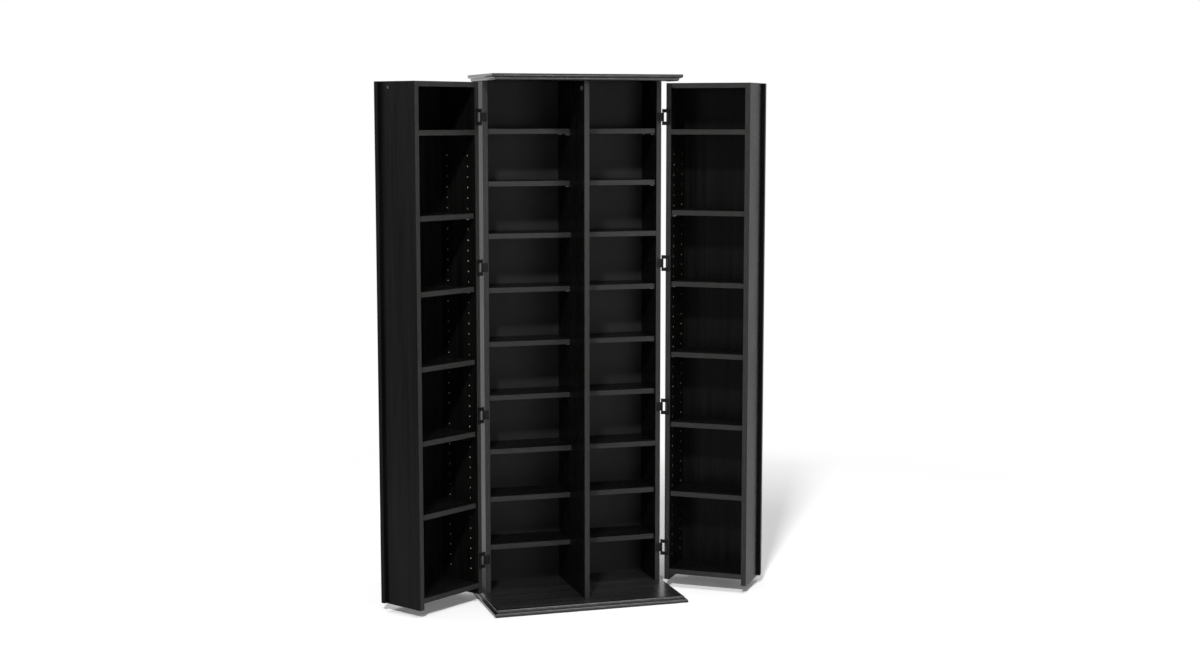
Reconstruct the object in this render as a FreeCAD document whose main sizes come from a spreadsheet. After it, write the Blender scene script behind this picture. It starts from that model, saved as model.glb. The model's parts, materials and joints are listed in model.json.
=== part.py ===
# Two-column storage tower with a pair of box doors that carry shelves of their own.
# Millimetres, +Z up. The origin lies on the floor under the middle of the base board.
# The doors stand open, each turned about its own hinge line by its opening angle.
import FreeCAD
import Part
import Sketcher
import math
import os

from FreeCAD import Placement, Rotation, Vector

os.makedirs("parts", exist_ok=True)
doc = FreeCAD.newDocument("storage_tower")

# Driving sizes.
SIZES = [
    # Cabinet boards
    ("board", 16, "thickness of every laminated board"),
    ("cabinet_width", 572, "over the outer faces of the two sides"),
    ("cabinet_depth", 148, "sides, front edge to back edge"),
    ("side_height", 1586, "sides and divider, between base and top"),
    ("back_thickness", 3, "hardboard back panel"),
    ("rabbet_width", 8, "how far the back panel reaches into each side"),
    # Moulded base and top
    ("base_thickness", 20, "base board"),
    ("base_overhang", 22, "base beyond each side of the cabinet"),
    ("base_reach", 48, "base in front of the closed doors"),
    ("top_thickness", 20, "top board"),
    ("top_overhang", 11, "top beyond each side of the cabinet"),
    ("top_reach", 6, "top in front of the closed doors"),
    ("bead_height", 11, "wider bead of the moulded edge"),
    ("bead_inset", 9, "step back from the wider bead to the narrower one"),
    ("bead_radius", 6, "rounding of each bead"),
    # Cabinet shelves
    ("lower_fixed_shelf", 456, "upper face of the lower fixed shelf above the base"),
    ("upper_fixed_shelf", 1124, "upper face of the upper fixed shelf above the base"),
    ("shelf_setback", 10, "loose shelves behind the cabinet's front edges"),
    ("shelf_side_gap", 1, "play of a loose shelf at each end"),
    ("shelf_back_gap", 2, "play of a loose shelf at its back edge"),
    # Shelf pegs
    ("peg_radius", 2.45, "six-sided shelf peg, middle to corner"),
    ("peg_play", 0.05, "peg to its six-sided hole, at the corners"),
    ("peg_hole_depth", 9, "blind peg holes"),
    ("peg_end_gap", 0.5, "peg to the bottom of its hole"),
    ("peg_reach", 8, "peg standing out under the shelf"),
    ("peg_margin", 24, "peg lines from the front and back edges of a shelf"),
    ("hole_pitch", 32, "rows of peg holes in the doors"),
    # Door boxes
    ("door_box_depth", 145, "door sides, open edge to the front panel"),
    ("door_front_thickness", 16, "front panel of a door"),
    ("door_bottom_gap", 4, "door above the base"),
    ("door_top_gap", 3, "door below the top"),
    ("divider_side_gap", 3, "closed door to the face of the divider"),
    ("divider_front_gap", 1.5, "closed front panel to the edge of the divider"),
    ("meeting_gap", 3, "between the front panels of the closed doors"),
    ("bottom_board_raise", 20, "bottom board above the lower ends of the door sides"),
    ("door_top_row", 127, "clear height of the row under a door's top board"),
    ("door_shelf_setback", 8, "loose door shelves behind the open edge"),
    ("frame_width", 58, "raised border of a front panel"),
    ("field_recess", 5, "sunk field inside that border"),
    # Hinges
    ("hinge_offset", 5, "hinge line outside the cabinet side"),
    ("hinge_to_door", 10, "hinge line to the door's hinge side"),
    ("hinge_height", 50, "door leaf"),
    ("hinge_middle", 27, "cabinet leaf and its knuckle"),
    ("leaf_thickness", 1.6, "both leaves"),
    ("leaf_play", 0.4, "room left between a leaf and the edge that it closes on"),
    ("leaf_gap", 0.4, "cabinet leaf to the window of the door leaf"),
    ("cabinet_leaf_width", 18, "hinge line to the end of the cabinet leaf"),
    ("door_leaf_width", 24, "hinge line to the end of the door leaf"),
    ("knuckle_radius", 3.2, "outside of the knuckles"),
    ("hinge_pin_radius", 1.6, "pin fixed in the outer knuckles"),
    ("hinge_pin_play", 0.05, "pin to the bore of the middle knuckle"),
    ("hinge_end_distance", 105, "first and last hinge from the ends of the door"),
    # Knobs
    ("knob_radius", 13, "head"),
    ("knob_neck_radius", 6, "neck"),
    ("knob_neck_length", 10, "neck"),
    ("knob_head_length", 12, "head"),
    ("knob_edge_distance", 40, "knob from the free edge of the front panel"),
    ("knob_height", 830, "knob above the lower end of the door"),
    # Magnetic catches
    ("plate_height", 14, "steel plate on the divider"),
    ("plate_length", 18, "steel plate on the divider"),
    ("plate_thickness", 1.5, "steel plate on the divider"),
    ("catch_below_top", 18, "plate and magnet below the upper end of the door"),
    ("catch_behind_edge", 33, "plate and magnet behind the divider's front edge"),
    ("magnet_radius", 4.5, "barrel magnet in the door"),
    ("magnet_length", 12, "barrel magnet inside the board"),
    ("magnet_stand", 1, "barrel magnet standing out of the board"),
    ("magnet_play", 0.1, "magnet to the wall of its hole"),
    # Opening angles of the doors
    ("left_open_angle", 146.5, "degrees from closed"),
    ("right_open_angle", 143.5, "degrees from closed"),
]

sheet = doc.addObject("Spreadsheet::Sheet", "Sizes")
for row, (alias, value, meaning) in enumerate(SIZES, 1):
    sheet.set(f"A{row}", meaning)
    sheet.set(f"B{row}", str(value))
    sheet.setAlias(f"B{row}", alias)
doc.recompute()

# Places worked out from the driving sizes, as expressions over the sheet.
HALF_WIDTH = "(Sizes.cabinet_width / 2)"
INNER_HALF = f"({HALF_WIDTH} - Sizes.board)"
DOOR_GAP = "(Sizes.leaf_thickness + Sizes.leaf_play)"
DOOR_REACH = f"({DOOR_GAP} + Sizes.door_box_depth + Sizes.door_front_thickness)"
BASE_REACH = f"({DOOR_REACH} + Sizes.base_reach)"
TOP_REACH = f"({DOOR_REACH} + Sizes.top_reach)"
FRONT_Y = f"(({BASE_REACH} - Sizes.cabinet_depth) / 2)"
BACK_Y = f"({FRONT_Y} + Sizes.cabinet_depth)"
INNER_BACK_Y = f"({BACK_Y} - Sizes.back_thickness)"
FLOOR_Z = "Sizes.base_thickness"
TOP_Z = f"({FLOOR_Z} + Sizes.side_height)"
DIVIDER_REACH = f"({DOOR_GAP} + Sizes.door_box_depth - Sizes.divider_front_gap)"
BAY_WIDTH = f"({INNER_HALF} - Sizes.board / 2)"
PEG_FLAT = "(Sizes.peg_radius * cos(30))"
PEG_HOLE_RADIUS = "(Sizes.peg_radius + Sizes.peg_play)"

# The fixed shelves part each bay into three sections of loose shelves at an even pitch.
LOWER_SHELF_COUNT = 2
MIDDLE_SHELF_COUNT = 3
UPPER_SHELF_COUNT = 2
MIDDLE_HEIGHT = "(Sizes.upper_fixed_shelf - Sizes.lower_fixed_shelf)"
UPPER_HEIGHT = "(Sizes.side_height - Sizes.upper_fixed_shelf + Sizes.board)"
# Start above the base, pitch and number of loose shelves of each section.
SECTIONS = [
    ("0", f"(Sizes.lower_fixed_shelf / {LOWER_SHELF_COUNT + 1})", LOWER_SHELF_COUNT),
    ("Sizes.lower_fixed_shelf", f"({MIDDLE_HEIGHT} / {MIDDLE_SHELF_COUNT + 1})", MIDDLE_SHELF_COUNT),
    ("Sizes.upper_fixed_shelf", f"({UPPER_HEIGHT} / {UPPER_SHELF_COUNT + 1})", UPPER_SHELF_COUNT),
]
SHELF_FRONT_Y = f"({FRONT_Y} + Sizes.shelf_setback)"
SHELF_DEPTH = f"({INNER_BACK_Y} - Sizes.shelf_back_gap - {SHELF_FRONT_Y})"
PEG_FRONT_Y = f"({SHELF_FRONT_Y} + Sizes.peg_margin)"
PEG_SPREAD = f"({SHELF_DEPTH} - 2 * Sizes.peg_margin)"

# Door frame of reference: the origin lies on the hinge line, x runs toward the free edge of the left
# door, and y runs from the front panel toward the cabinet, all as when the door is closed.
HINGE_X = f"({HALF_WIDTH} + Sizes.hinge_offset)"
HINGE_Y = f"({FRONT_Y} - {DOOR_GAP} / 2)"
DOOR_OPEN_Y = f"(-{DOOR_GAP} / 2)"
DOOR_BACK_Y = f"({DOOR_OPEN_Y} - Sizes.door_box_depth)"
DOOR_FRONT_Y = f"({DOOR_BACK_Y} - Sizes.door_front_thickness)"
DOOR_NEAR = "Sizes.hinge_to_door"
DOOR_FAR = f"({HINGE_X} - Sizes.board / 2 - Sizes.divider_side_gap)"
FRONT_FAR = f"({HINGE_X} - Sizes.meeting_gap / 2)"
DOOR_Z = f"({FLOOR_Z} + Sizes.door_bottom_gap)"
DOOR_HEIGHT = "(Sizes.side_height - Sizes.door_bottom_gap - Sizes.door_top_gap)"
DOOR_INSIDE = f"({DOOR_FAR} - {DOOR_NEAR} - 2 * Sizes.board)"
BOTTOM_BOARD_Z = f"({DOOR_Z} + Sizes.bottom_board_raise)"
TOP_BOARD_Z = f"({DOOR_Z} + {DOOR_HEIGHT} - Sizes.board)"
FIXED_SHELF_Z = f"({TOP_BOARD_Z} - Sizes.door_top_row - Sizes.board)"
# Tall rows between the bottom board and the fixed shelf, a whole number of peg holes apart.
DOOR_SHELF_COUNT = 5
TALL_ROW_COUNT = DOOR_SHELF_COUNT + 1
TALL_SPACE = f"({FIXED_SHELF_Z} - {BOTTOM_BOARD_Z})"
TALL_PITCH = f"(Sizes.hole_pitch * floor({TALL_SPACE} / ({TALL_ROW_COUNT} * Sizes.hole_pitch)))"
FIRST_SHELF_Z = f"({BOTTOM_BOARD_Z} + {TALL_PITCH} + ({TALL_SPACE} - {TALL_ROW_COUNT} * {TALL_PITCH}) / 2)"
DOOR_SHELF_FRONT_Y = f"({DOOR_OPEN_Y} - Sizes.door_shelf_setback)"
DOOR_SHELF_DEPTH = f"({DOOR_SHELF_FRONT_Y} - Sizes.shelf_back_gap - {DOOR_BACK_Y})"
DOOR_PEG_Y = f"({DOOR_SHELF_FRONT_Y} - Sizes.peg_margin)"
DOOR_PEG_SPREAD = f"({DOOR_SHELF_DEPTH} - 2 * Sizes.peg_margin)"
HINGE_COUNT = 4
HINGE_FIRST_Z = f"({DOOR_Z} + Sizes.hinge_end_distance)"
HINGE_SPAN = f"({DOOR_HEIGHT} - 2 * Sizes.hinge_end_distance)"
CATCH_Z = f"({DOOR_Z} + {DOOR_HEIGHT} - Sizes.catch_below_top)"
CATCH_Y = f"({FRONT_Y} - {DIVIDER_REACH} + Sizes.catch_behind_edge)"

nodes = []


def datum(body, role):
    """The origin plane or axis of a body that has the given role."""
    return next(feature for feature in body.Origin.OriginFeatures if feature.Role == role)


def new_body(label):
    body = doc.addObject("PartDesign::Body", label)
    body.Label = label
    nodes.append(body)
    return body


def new_sketch(body, plane, offset):
    """A sketch on an origin plane, moved by three expressions in that plane's own x, y and normal."""
    sketch = body.newObject("Sketcher::SketchObject", "Sketch")
    sketch.AttachmentSupport = (datum(body, plane), [""])
    sketch.MapMode = "FlatFace"
    for axis, text in zip("xyz", offset):
        sketch.setExpression(f"AttachmentOffset.Base.{axis}", text)
    return sketch


def drive(sketch, kind, where, expression):
    """Adds a dimension to a sketch and binds it to the sheet."""
    index = sketch.addConstraint(Sketcher.Constraint(kind, *where, 10))
    sketch.setExpression(f"Constraints[{index}]", expression)


def add_rectangle(sketch, width, height):
    """A rectangle from the sketch's origin toward +x and +y."""
    corners = [Vector(0, 0), Vector(10, 0), Vector(10, 10), Vector(0, 10)]
    for k in range(4):
        sketch.addGeometry(Part.LineSegment(corners[k], corners[(k + 1) % 4]))
    for k in range(4):
        sketch.addConstraint(Sketcher.Constraint("Coincident", k, 2, (k + 1) % 4, 1))
        sketch.addConstraint(Sketcher.Constraint("Vertical" if k % 2 else "Horizontal", k))
    sketch.addConstraint(Sketcher.Constraint("Coincident", 0, 1, -1, 1))
    drive(sketch, "DistanceX", (0, 1, 0, 2), width)
    drive(sketch, "DistanceY", (1, 1, 1, 2), height)


def add_circle(sketch, radius):
    """A circle round the sketch's origin."""
    sketch.addGeometry(Part.Circle(Vector(), Vector(0, 0, 1), 10))
    sketch.addConstraint(Sketcher.Constraint("Coincident", 0, 3, -1, 1))
    drive(sketch, "Radius", (0,), radius)


def add_hexagon(sketch, radius):
    """A regular hexagon round the sketch's origin, with a corner on +x and a flat on top."""
    corners = [Vector(math.cos(math.pi * k / 3), math.sin(math.pi * k / 3)) * 10 for k in range(6)]
    for k in range(6):
        sketch.addGeometry(Part.LineSegment(corners[k], corners[(k + 1) % 6]))
    guide = sketch.addGeometry(Part.Circle(Vector(), Vector(0, 0, 1), 10), True)
    sketch.addConstraint(Sketcher.Constraint("Coincident", guide, 3, -1, 1))
    for k in range(6):
        sketch.addConstraint(Sketcher.Constraint("Coincident", k, 2, (k + 1) % 6, 1))
        sketch.addConstraint(Sketcher.Constraint("PointOnObject", k, 1, guide))
    for k in range(5):
        sketch.addConstraint(Sketcher.Constraint("Equal", k, k + 1))
    sketch.addConstraint(Sketcher.Constraint("PointOnObject", 0, 1, -1))
    drive(sketch, "Radius", (guide,), radius)


def pad(body, sketch, length):
    feature = body.newObject("PartDesign::Pad", "Pad")
    feature.Profile = sketch
    feature.setExpression("Length", length)
    return feature


def pocket(body, sketch, length, along_normal=False):
    """A cut against the sketch's normal, or along it."""
    feature = body.newObject("PartDesign::Pocket", "Pocket")
    feature.Profile = sketch
    feature.Reversed = along_normal
    feature.setExpression("Length", length)
    return feature


def round_edges(body, feature, radius, wanted):
    """Rounds the edges of a feature for which wanted(edge box, feature box) holds."""
    doc.recompute()
    box = feature.Shape.BoundBox
    names = [f"Edge{k}" for k, edge in enumerate(feature.Shape.Edges, 1) if wanted(edge.BoundBox, box)]
    rounding = body.newObject("PartDesign::Fillet", "Rounding")
    rounding.Base = (feature, names)
    rounding.setExpression("Radius", radius)


def repeat(body, features, axis, extent, count):
    """Repeats features along an origin axis, evenly over an extent."""
    pattern = body.newObject("PartDesign::LinearPattern", "Pattern")
    pattern.Originals = features
    pattern.Direction = (datum(body, axis), [""])
    pattern.Occurrences = count
    pattern.setExpression("Length", extent)
    body.Tip = pattern
    return pattern


def hang(item, side):
    """Puts a piece of a door at its hinge line, turned open."""
    sign = "-" if side == "left" else ""
    item.setExpression(
        "Placement",
        f"placement(vector({sign}{HINGE_X}; {HINGE_Y}; 0);"
        f" rotation(vector(0; 0; 1); {sign}Sizes.{side}_open_angle))",
    )


def board(label, corner, size):
    """A plain board: its outline on the XY plane, padded upward."""
    body = new_body(label)
    sketch = new_sketch(body, "XY_Plane", corner)
    add_rectangle(sketch, size[0], size[1])
    pad(body, sketch, size[2])
    return body


def low_x(side, near, far):
    """Lower x of a door piece between two distances from the hinge line."""
    return near if side == "left" else f"(-{far})"


def toward_free(side, expression):
    """A distance from the hinge line, signed toward the free edge."""
    return expression if side == "left" else f"(-{expression})"


def group(label, items):
    """One node of separate solids."""
    compound = doc.addObject("Part::Compound", label)
    compound.Label = label
    compound.Links = items
    nodes.append(compound)
    return compound


def moulded_board(label, half_width, front, z, thickness, wide_first):
    """A board with a two-bead edge on its front and both ends. The wide bead is below or above."""
    body = new_body(label)
    narrow_height = f"({thickness} - Sizes.bead_height)"
    wide_z = z if wide_first else f"({z} + {narrow_height})"
    narrow_z = f"({z} + Sizes.bead_height)" if wide_first else z
    depth = f"({front} + Sizes.cabinet_depth)"

    def rounded(edge, box):
        level = box.ZMax if wide_first else box.ZMin
        flat = max(abs(edge.ZMin - level), abs(edge.ZMax - level)) < 1e-4
        at_back = abs(edge.YMin - box.YMax) < 1e-4
        return flat and not at_back

    wide = new_sketch(body, "XY_Plane", (f"-{half_width}", f"{FRONT_Y} - {front}", wide_z))
    add_rectangle(wide, f"2 * {half_width}", depth)
    round_edges(body, pad(body, wide, "Sizes.bead_height"), "Sizes.bead_radius", rounded)
    corner = (f"Sizes.bead_inset - {half_width}", f"{FRONT_Y} - {front} + Sizes.bead_inset", narrow_z)
    narrow = new_sketch(body, "XY_Plane", corner)
    add_rectangle(narrow, f"2 * ({half_width} - Sizes.bead_inset)", f"{depth} - Sizes.bead_inset")
    round_edges(body, pad(body, narrow, narrow_height), "Sizes.bead_radius", rounded)
    return body


def rows_of_pegs():
    """First peg height, pitch and count for each section of a bay."""
    for start, pitch, count in SECTIONS:
        yield f"({FLOOR_Z} + {start} + {pitch} - Sizes.board - {PEG_FLAT})", pitch, count


def drill_bay_holes(body, face_x, depth, along_normal):
    """Front and back lines of peg holes in a cabinet board."""
    for first, pitch, count in rows_of_pegs():
        sketch = new_sketch(body, "YZ_Plane", (PEG_FRONT_Y, first, face_x))
        add_hexagon(sketch, PEG_HOLE_RADIUS)
        hole = pocket(body, sketch, depth, along_normal)
        pattern = repeat(body, [hole], "Z_Axis", f"{pitch} * {count - 1}", count)
        pattern.Direction2 = (datum(body, "Y_Axis"), [""])
        pattern.Occurrences2 = 2
        pattern.setExpression("Length2", PEG_SPREAD)


def peg(x, y, z, length):
    """A six-sided peg along +x with a flat on top."""
    item = doc.addObject("Part::Prism", "Peg")
    item.Polygon = 6
    item.Placement = Placement(Vector(), Rotation(Vector(0, 1, 0), 90) * Rotation(Vector(0, 0, 1), 30))
    item.setExpression("Circumradius", "Sizes.peg_radius")
    item.setExpression("Height", length)
    for axis, text in zip("xyz", (x, y, z)):
        item.setExpression(f"Placement.Base.{axis}", text)
    return item


PEG_SUNK = "(Sizes.peg_hole_depth - Sizes.peg_end_gap)"
PEG_LENGTH = f"({PEG_SUNK} + Sizes.peg_reach)"


def cabinet_side(side):
    """An outer side, rabbeted for the back panel and drilled for the shelf pegs."""
    left = side == "left"
    body = board(
        f"{side}_side",
        (f"-{HALF_WIDTH}" if left else INNER_HALF, FRONT_Y, FLOOR_Z),
        ("Sizes.board", "Sizes.cabinet_depth", "Sizes.side_height"),
    )
    rabbet_x = f"Sizes.rabbet_width - {HALF_WIDTH}" if left else INNER_HALF
    rabbet = new_sketch(body, "XY_Plane", (rabbet_x, INNER_BACK_Y, TOP_Z))
    add_rectangle(rabbet, "Sizes.board - Sizes.rabbet_width", "Sizes.back_thickness")
    pocket(body, rabbet, "Sizes.side_height")
    drill_bay_holes(body, f"-{INNER_HALF}" if left else INNER_HALF, "Sizes.peg_hole_depth", not left)


def centre_divider():
    """The full-depth divider: it reaches forward between the closed doors, and its peg holes go through."""
    body = board(
        "centre_divider",
        ("-Sizes.board / 2", f"{FRONT_Y} - {DIVIDER_REACH}", FLOOR_Z),
        ("Sizes.board", f"{DIVIDER_REACH} + Sizes.cabinet_depth - Sizes.back_thickness", "Sizes.side_height"),
    )
    drill_bay_holes(body, "Sizes.board / 2", "Sizes.board", False)


def cabinet_shelves(side):
    """Two fixed shelves, flush with the front edges, and seven loose ones on pegs."""
    bay_x = f"-{INNER_HALF}" if side == "left" else "Sizes.board / 2"
    for name in ("lower", "upper"):
        top = f"{FLOOR_Z} + Sizes.{name}_fixed_shelf"
        board(
            f"{side}_{name}_fixed_shelf",
            (bay_x, FRONT_Y, f"{top} - Sizes.board"),
            (BAY_WIDTH, f"{INNER_BACK_Y} - {FRONT_Y}", "Sizes.board"),
        )
    number = 0
    for start, pitch, count in SECTIONS:
        for k in range(1, count + 1):
            number += 1
            board(
                f"{side}_loose_shelf_{number}",
                (
                    f"{bay_x} + Sizes.shelf_side_gap",
                    SHELF_FRONT_Y,
                    f"{FLOOR_Z} + {start} + {k} * {pitch} - Sizes.board",
                ),
                (f"{BAY_WIDTH} - 2 * Sizes.shelf_side_gap", SHELF_DEPTH, "Sizes.board"),
            )


def cabinet_pegs():
    """Short pegs in the two sides and long ones through the divider."""
    items = []
    for first, pitch, count in rows_of_pegs():
        for k in range(count):
            z = f"{first} + {k} * {pitch}"
            for y in (PEG_FRONT_Y, f"{PEG_FRONT_Y} + {PEG_SPREAD}"):
                items.append(peg(f"-{INNER_HALF} - {PEG_SUNK}", y, z, PEG_LENGTH))
                items.append(peg(f"{INNER_HALF} - Sizes.peg_reach", y, z, PEG_LENGTH))
                through = "Sizes.board + 2 * Sizes.peg_reach"
                items.append(peg("-Sizes.board / 2 - Sizes.peg_reach", y, z, through))
    group("cabinet_shelf_pegs", items)


def catch_plates():
    """A steel plate on each face of the divider, near the upper front corner."""
    items = []
    for x in ("-Sizes.board / 2 - Sizes.plate_thickness", "Sizes.board / 2"):
        plate = doc.addObject("Part::Box", "Plate")
        plate.setExpression("Length", "Sizes.plate_thickness")
        plate.setExpression("Width", "Sizes.plate_length")
        plate.setExpression("Height", "Sizes.plate_height")
        plate.setExpression("Placement.Base.x", x)
        plate.setExpression("Placement.Base.y", f"{CATCH_Y} - Sizes.plate_length / 2")
        plate.setExpression("Placement.Base.z", f"{CATCH_Z} - Sizes.plate_height / 2")
        items.append(plate)
    group("catch_plates", items)


def door_side(side, name, near, far, inner, along_normal):
    """A side of a door box, drilled for the shelf pegs."""
    body = board(
        f"{side}_door_{name}",
        (low_x(side, near, far), DOOR_BACK_Y, DOOR_Z),
        ("Sizes.board", "Sizes.door_box_depth", DOOR_HEIGHT),
    )
    first = f"{FIRST_SHELF_Z} - {PEG_FLAT}"
    face = toward_free(side, inner)
    sketch = new_sketch(body, "YZ_Plane", (f"{DOOR_PEG_Y} - {DOOR_PEG_SPREAD}", first, face))
    add_hexagon(sketch, PEG_HOLE_RADIUS)
    hole = pocket(body, sketch, "Sizes.peg_hole_depth", along_normal)
    pattern = repeat(body, [hole], "Z_Axis", f"{TALL_PITCH} * {DOOR_SHELF_COUNT - 1}", DOOR_SHELF_COUNT)
    pattern.Direction2 = (datum(body, "Y_Axis"), [""])
    pattern.Occurrences2 = 2
    pattern.setExpression("Length2", DOOR_PEG_SPREAD)
    hang(body, side)
    return body


def drill_magnet_hole(body, side):
    """The hole for the barrel magnet in the outer face of the free side."""
    y = f"{CATCH_Y} - {HINGE_Y}"
    sketch = new_sketch(body, "YZ_Plane", (y, CATCH_Z, toward_free(side, DOOR_FAR)))
    add_circle(sketch, "Sizes.magnet_radius + Sizes.magnet_play")
    body.Tip = pocket(body, sketch, "Sizes.magnet_length", side == "right")


def door_box(side):
    """Sides, top board, raised bottom board, the fixed shelf and the loose shelves."""
    near_end = f"({DOOR_NEAR} + Sizes.board)"
    far_start = f"({DOOR_FAR} - Sizes.board)"
    left = side == "left"
    door_side(side, "hinge_side", DOOR_NEAR, near_end, near_end, not left)
    free_side = door_side(side, "free_side", far_start, DOOR_FAR, far_start, left)
    drill_magnet_hole(free_side, side)
    inside_x = low_x(side, near_end, far_start)
    for name, z in (("top", TOP_BOARD_Z), ("bottom", BOTTOM_BOARD_Z), ("fixed_shelf", FIXED_SHELF_Z)):
        item = board(
            f"{side}_door_{name}",
            (inside_x, DOOR_BACK_Y, z),
            (DOOR_INSIDE, "Sizes.door_box_depth", "Sizes.board"),
        )
        hang(item, side)
    for k in range(DOOR_SHELF_COUNT):
        item = board(
            f"{side}_door_loose_shelf_{k + 1}",
            (
                f"{inside_x} + Sizes.shelf_side_gap",
                f"{DOOR_BACK_Y} + Sizes.shelf_back_gap",
                f"{FIRST_SHELF_Z} + {k} * {TALL_PITCH}",
            ),
            (f"{DOOR_INSIDE} - 2 * Sizes.shelf_side_gap", DOOR_SHELF_DEPTH, "Sizes.board"),
        )
        hang(item, side)


def door_pegs(side):
    items = []
    ends = (f"({DOOR_NEAR} + Sizes.board)", f"({DOOR_FAR} - Sizes.board)")
    for k in range(DOOR_SHELF_COUNT):
        z = f"{FIRST_SHELF_Z} - {PEG_FLAT} + {k} * {TALL_PITCH}"
        for y in (DOOR_PEG_Y, f"{DOOR_PEG_Y} - {DOOR_PEG_SPREAD}"):
            near = low_x(side, f"({ends[0]} - {PEG_SUNK})", f"({ends[0]} + Sizes.peg_reach)")
            far = low_x(side, f"({ends[1]} - Sizes.peg_reach)", f"({ends[1]} + {PEG_SUNK})")
            items.append(peg(near, y, z, PEG_LENGTH))
            items.append(peg(far, y, z, PEG_LENGTH))
    hang(group(f"{side}_door_shelf_pegs", items), side)


def door_front(side):
    """The front panel laps over the divider's edge and has a sunk field inside a raised border."""
    width = f"({FRONT_FAR} - {DOOR_NEAR})"
    body = board(
        f"{side}_door_front",
        (low_x(side, DOOR_NEAR, FRONT_FAR), DOOR_FRONT_Y, DOOR_Z),
        (width, "Sizes.door_front_thickness", DOOR_HEIGHT),
    )
    corner = (
        f"{low_x(side, DOOR_NEAR, FRONT_FAR)} + Sizes.frame_width",
        f"{DOOR_Z} + Sizes.frame_width",
        f"-{DOOR_FRONT_Y}",
    )
    field = new_sketch(body, "XZ_Plane", corner)
    add_rectangle(field, f"{width} - 2 * Sizes.frame_width", f"{DOOR_HEIGHT} - 2 * Sizes.frame_width")
    pocket(body, field, "Sizes.field_recess")
    hang(body, side)


def door_knob(side):
    """A turned knob: neck and head are one profile revolved about its own axis."""
    body = new_body(f"{side}_door_knob")
    x = toward_free(side, f"({FRONT_FAR} - Sizes.knob_edge_distance)")
    sketch = new_sketch(body, "XY_Plane", (x, DOOR_FRONT_Y, f"{DOOR_Z} + Sizes.knob_height"))
    outline = [(0, 0), (1, 0), (1, -1), (2, -1), (2, -2), (0, -2)]
    for k in range(6):
        start, end = outline[k], outline[(k + 1) % 6]
        sketch.addGeometry(Part.LineSegment(Vector(*start), Vector(*end)))
    for k in range(6):
        sketch.addConstraint(Sketcher.Constraint("Coincident", k, 2, (k + 1) % 6, 1))
        sketch.addConstraint(Sketcher.Constraint("Vertical" if k % 2 else "Horizontal", k))
    sketch.addConstraint(Sketcher.Constraint("Coincident", 0, 1, -1, 1))
    drive(sketch, "DistanceX", (0, 1, 0, 2), "Sizes.knob_neck_radius")
    drive(sketch, "DistanceY", (1, 2, 1, 1), "Sizes.knob_neck_length")
    drive(sketch, "DistanceX", (4, 2, 4, 1), "Sizes.knob_radius")
    drive(sketch, "DistanceY", (3, 2, 3, 1), "Sizes.knob_head_length")
    turned = body.newObject("PartDesign::Revolution", "Revolution")
    turned.Profile = sketch
    turned.ReferenceAxis = (sketch, ["V_Axis"])
    turned.Angle = 360
    hang(body, side)


def door_magnet(side):
    """A barrel magnet that stands a little out of the free side, facing the steel plate."""
    barrel = doc.addObject("Part::Cylinder", "Barrel")
    barrel.setExpression("Radius", "Sizes.magnet_radius")
    barrel.setExpression("Height", "Sizes.magnet_length + Sizes.magnet_stand")
    barrel.Placement = Placement(Vector(), Rotation(Vector(0, 1, 0), 90))
    start = low_x(side, f"({DOOR_FAR} - Sizes.magnet_length)", f"({DOOR_FAR} + Sizes.magnet_stand)")
    for axis, text in zip("xyz", (start, f"{CATCH_Y} - {HINGE_Y}", CATCH_Z)):
        barrel.setExpression(f"Placement.Base.{axis}", text)
    hang(group(f"{side}_door_magnet", [barrel]), side)


def leaf_plate(body, side, width, y, z, height):
    """The flat of a hinge leaf, from the hinge line outward."""
    sketch = new_sketch(body, "XY_Plane", (low_x(side, "0", width), y, z))
    add_rectangle(sketch, width, "Sizes.leaf_thickness")
    return pad(body, sketch, height)


def hinge_round(body, radius, z, height):
    """A cylinder on the hinge line."""
    sketch = new_sketch(body, "XY_Plane", ("0", "0", z))
    add_circle(sketch, radius)
    return pad(body, sketch, height)


def repeat_hinges(body):
    """Repeats a finished leaf up the door. The pattern needs a leaf that has already been computed."""
    doc.recompute()
    pattern = repeat(body, [], "Z_Axis", HINGE_SPAN, HINGE_COUNT)
    pattern.TransformMode = "Whole shape"


def cabinet_leaves(side):
    """Narrow leaf on the cabinet's front edge with the bored middle knuckle."""
    body = new_body(f"{side}_hinge_cabinet_leaves")
    z = f"{HINGE_FIRST_Z} - Sizes.hinge_middle / 2"
    y = f"{DOOR_GAP} / 2 - Sizes.leaf_thickness"
    leaf_plate(body, side, "Sizes.cabinet_leaf_width", y, z, "Sizes.hinge_middle")
    hinge_round(body, "Sizes.knuckle_radius", z, "Sizes.hinge_middle")
    bore = new_sketch(body, "XY_Plane", ("0", "0", z))
    add_circle(bore, "Sizes.hinge_pin_radius + Sizes.hinge_pin_play")
    pocket(body, bore, "Sizes.hinge_middle", True)
    repeat_hinges(body)
    sign = "-" if side == "left" else ""
    body.setExpression("Placement.Base.x", f"{sign}{HINGE_X}")
    body.setExpression("Placement.Base.y", HINGE_Y)


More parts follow.
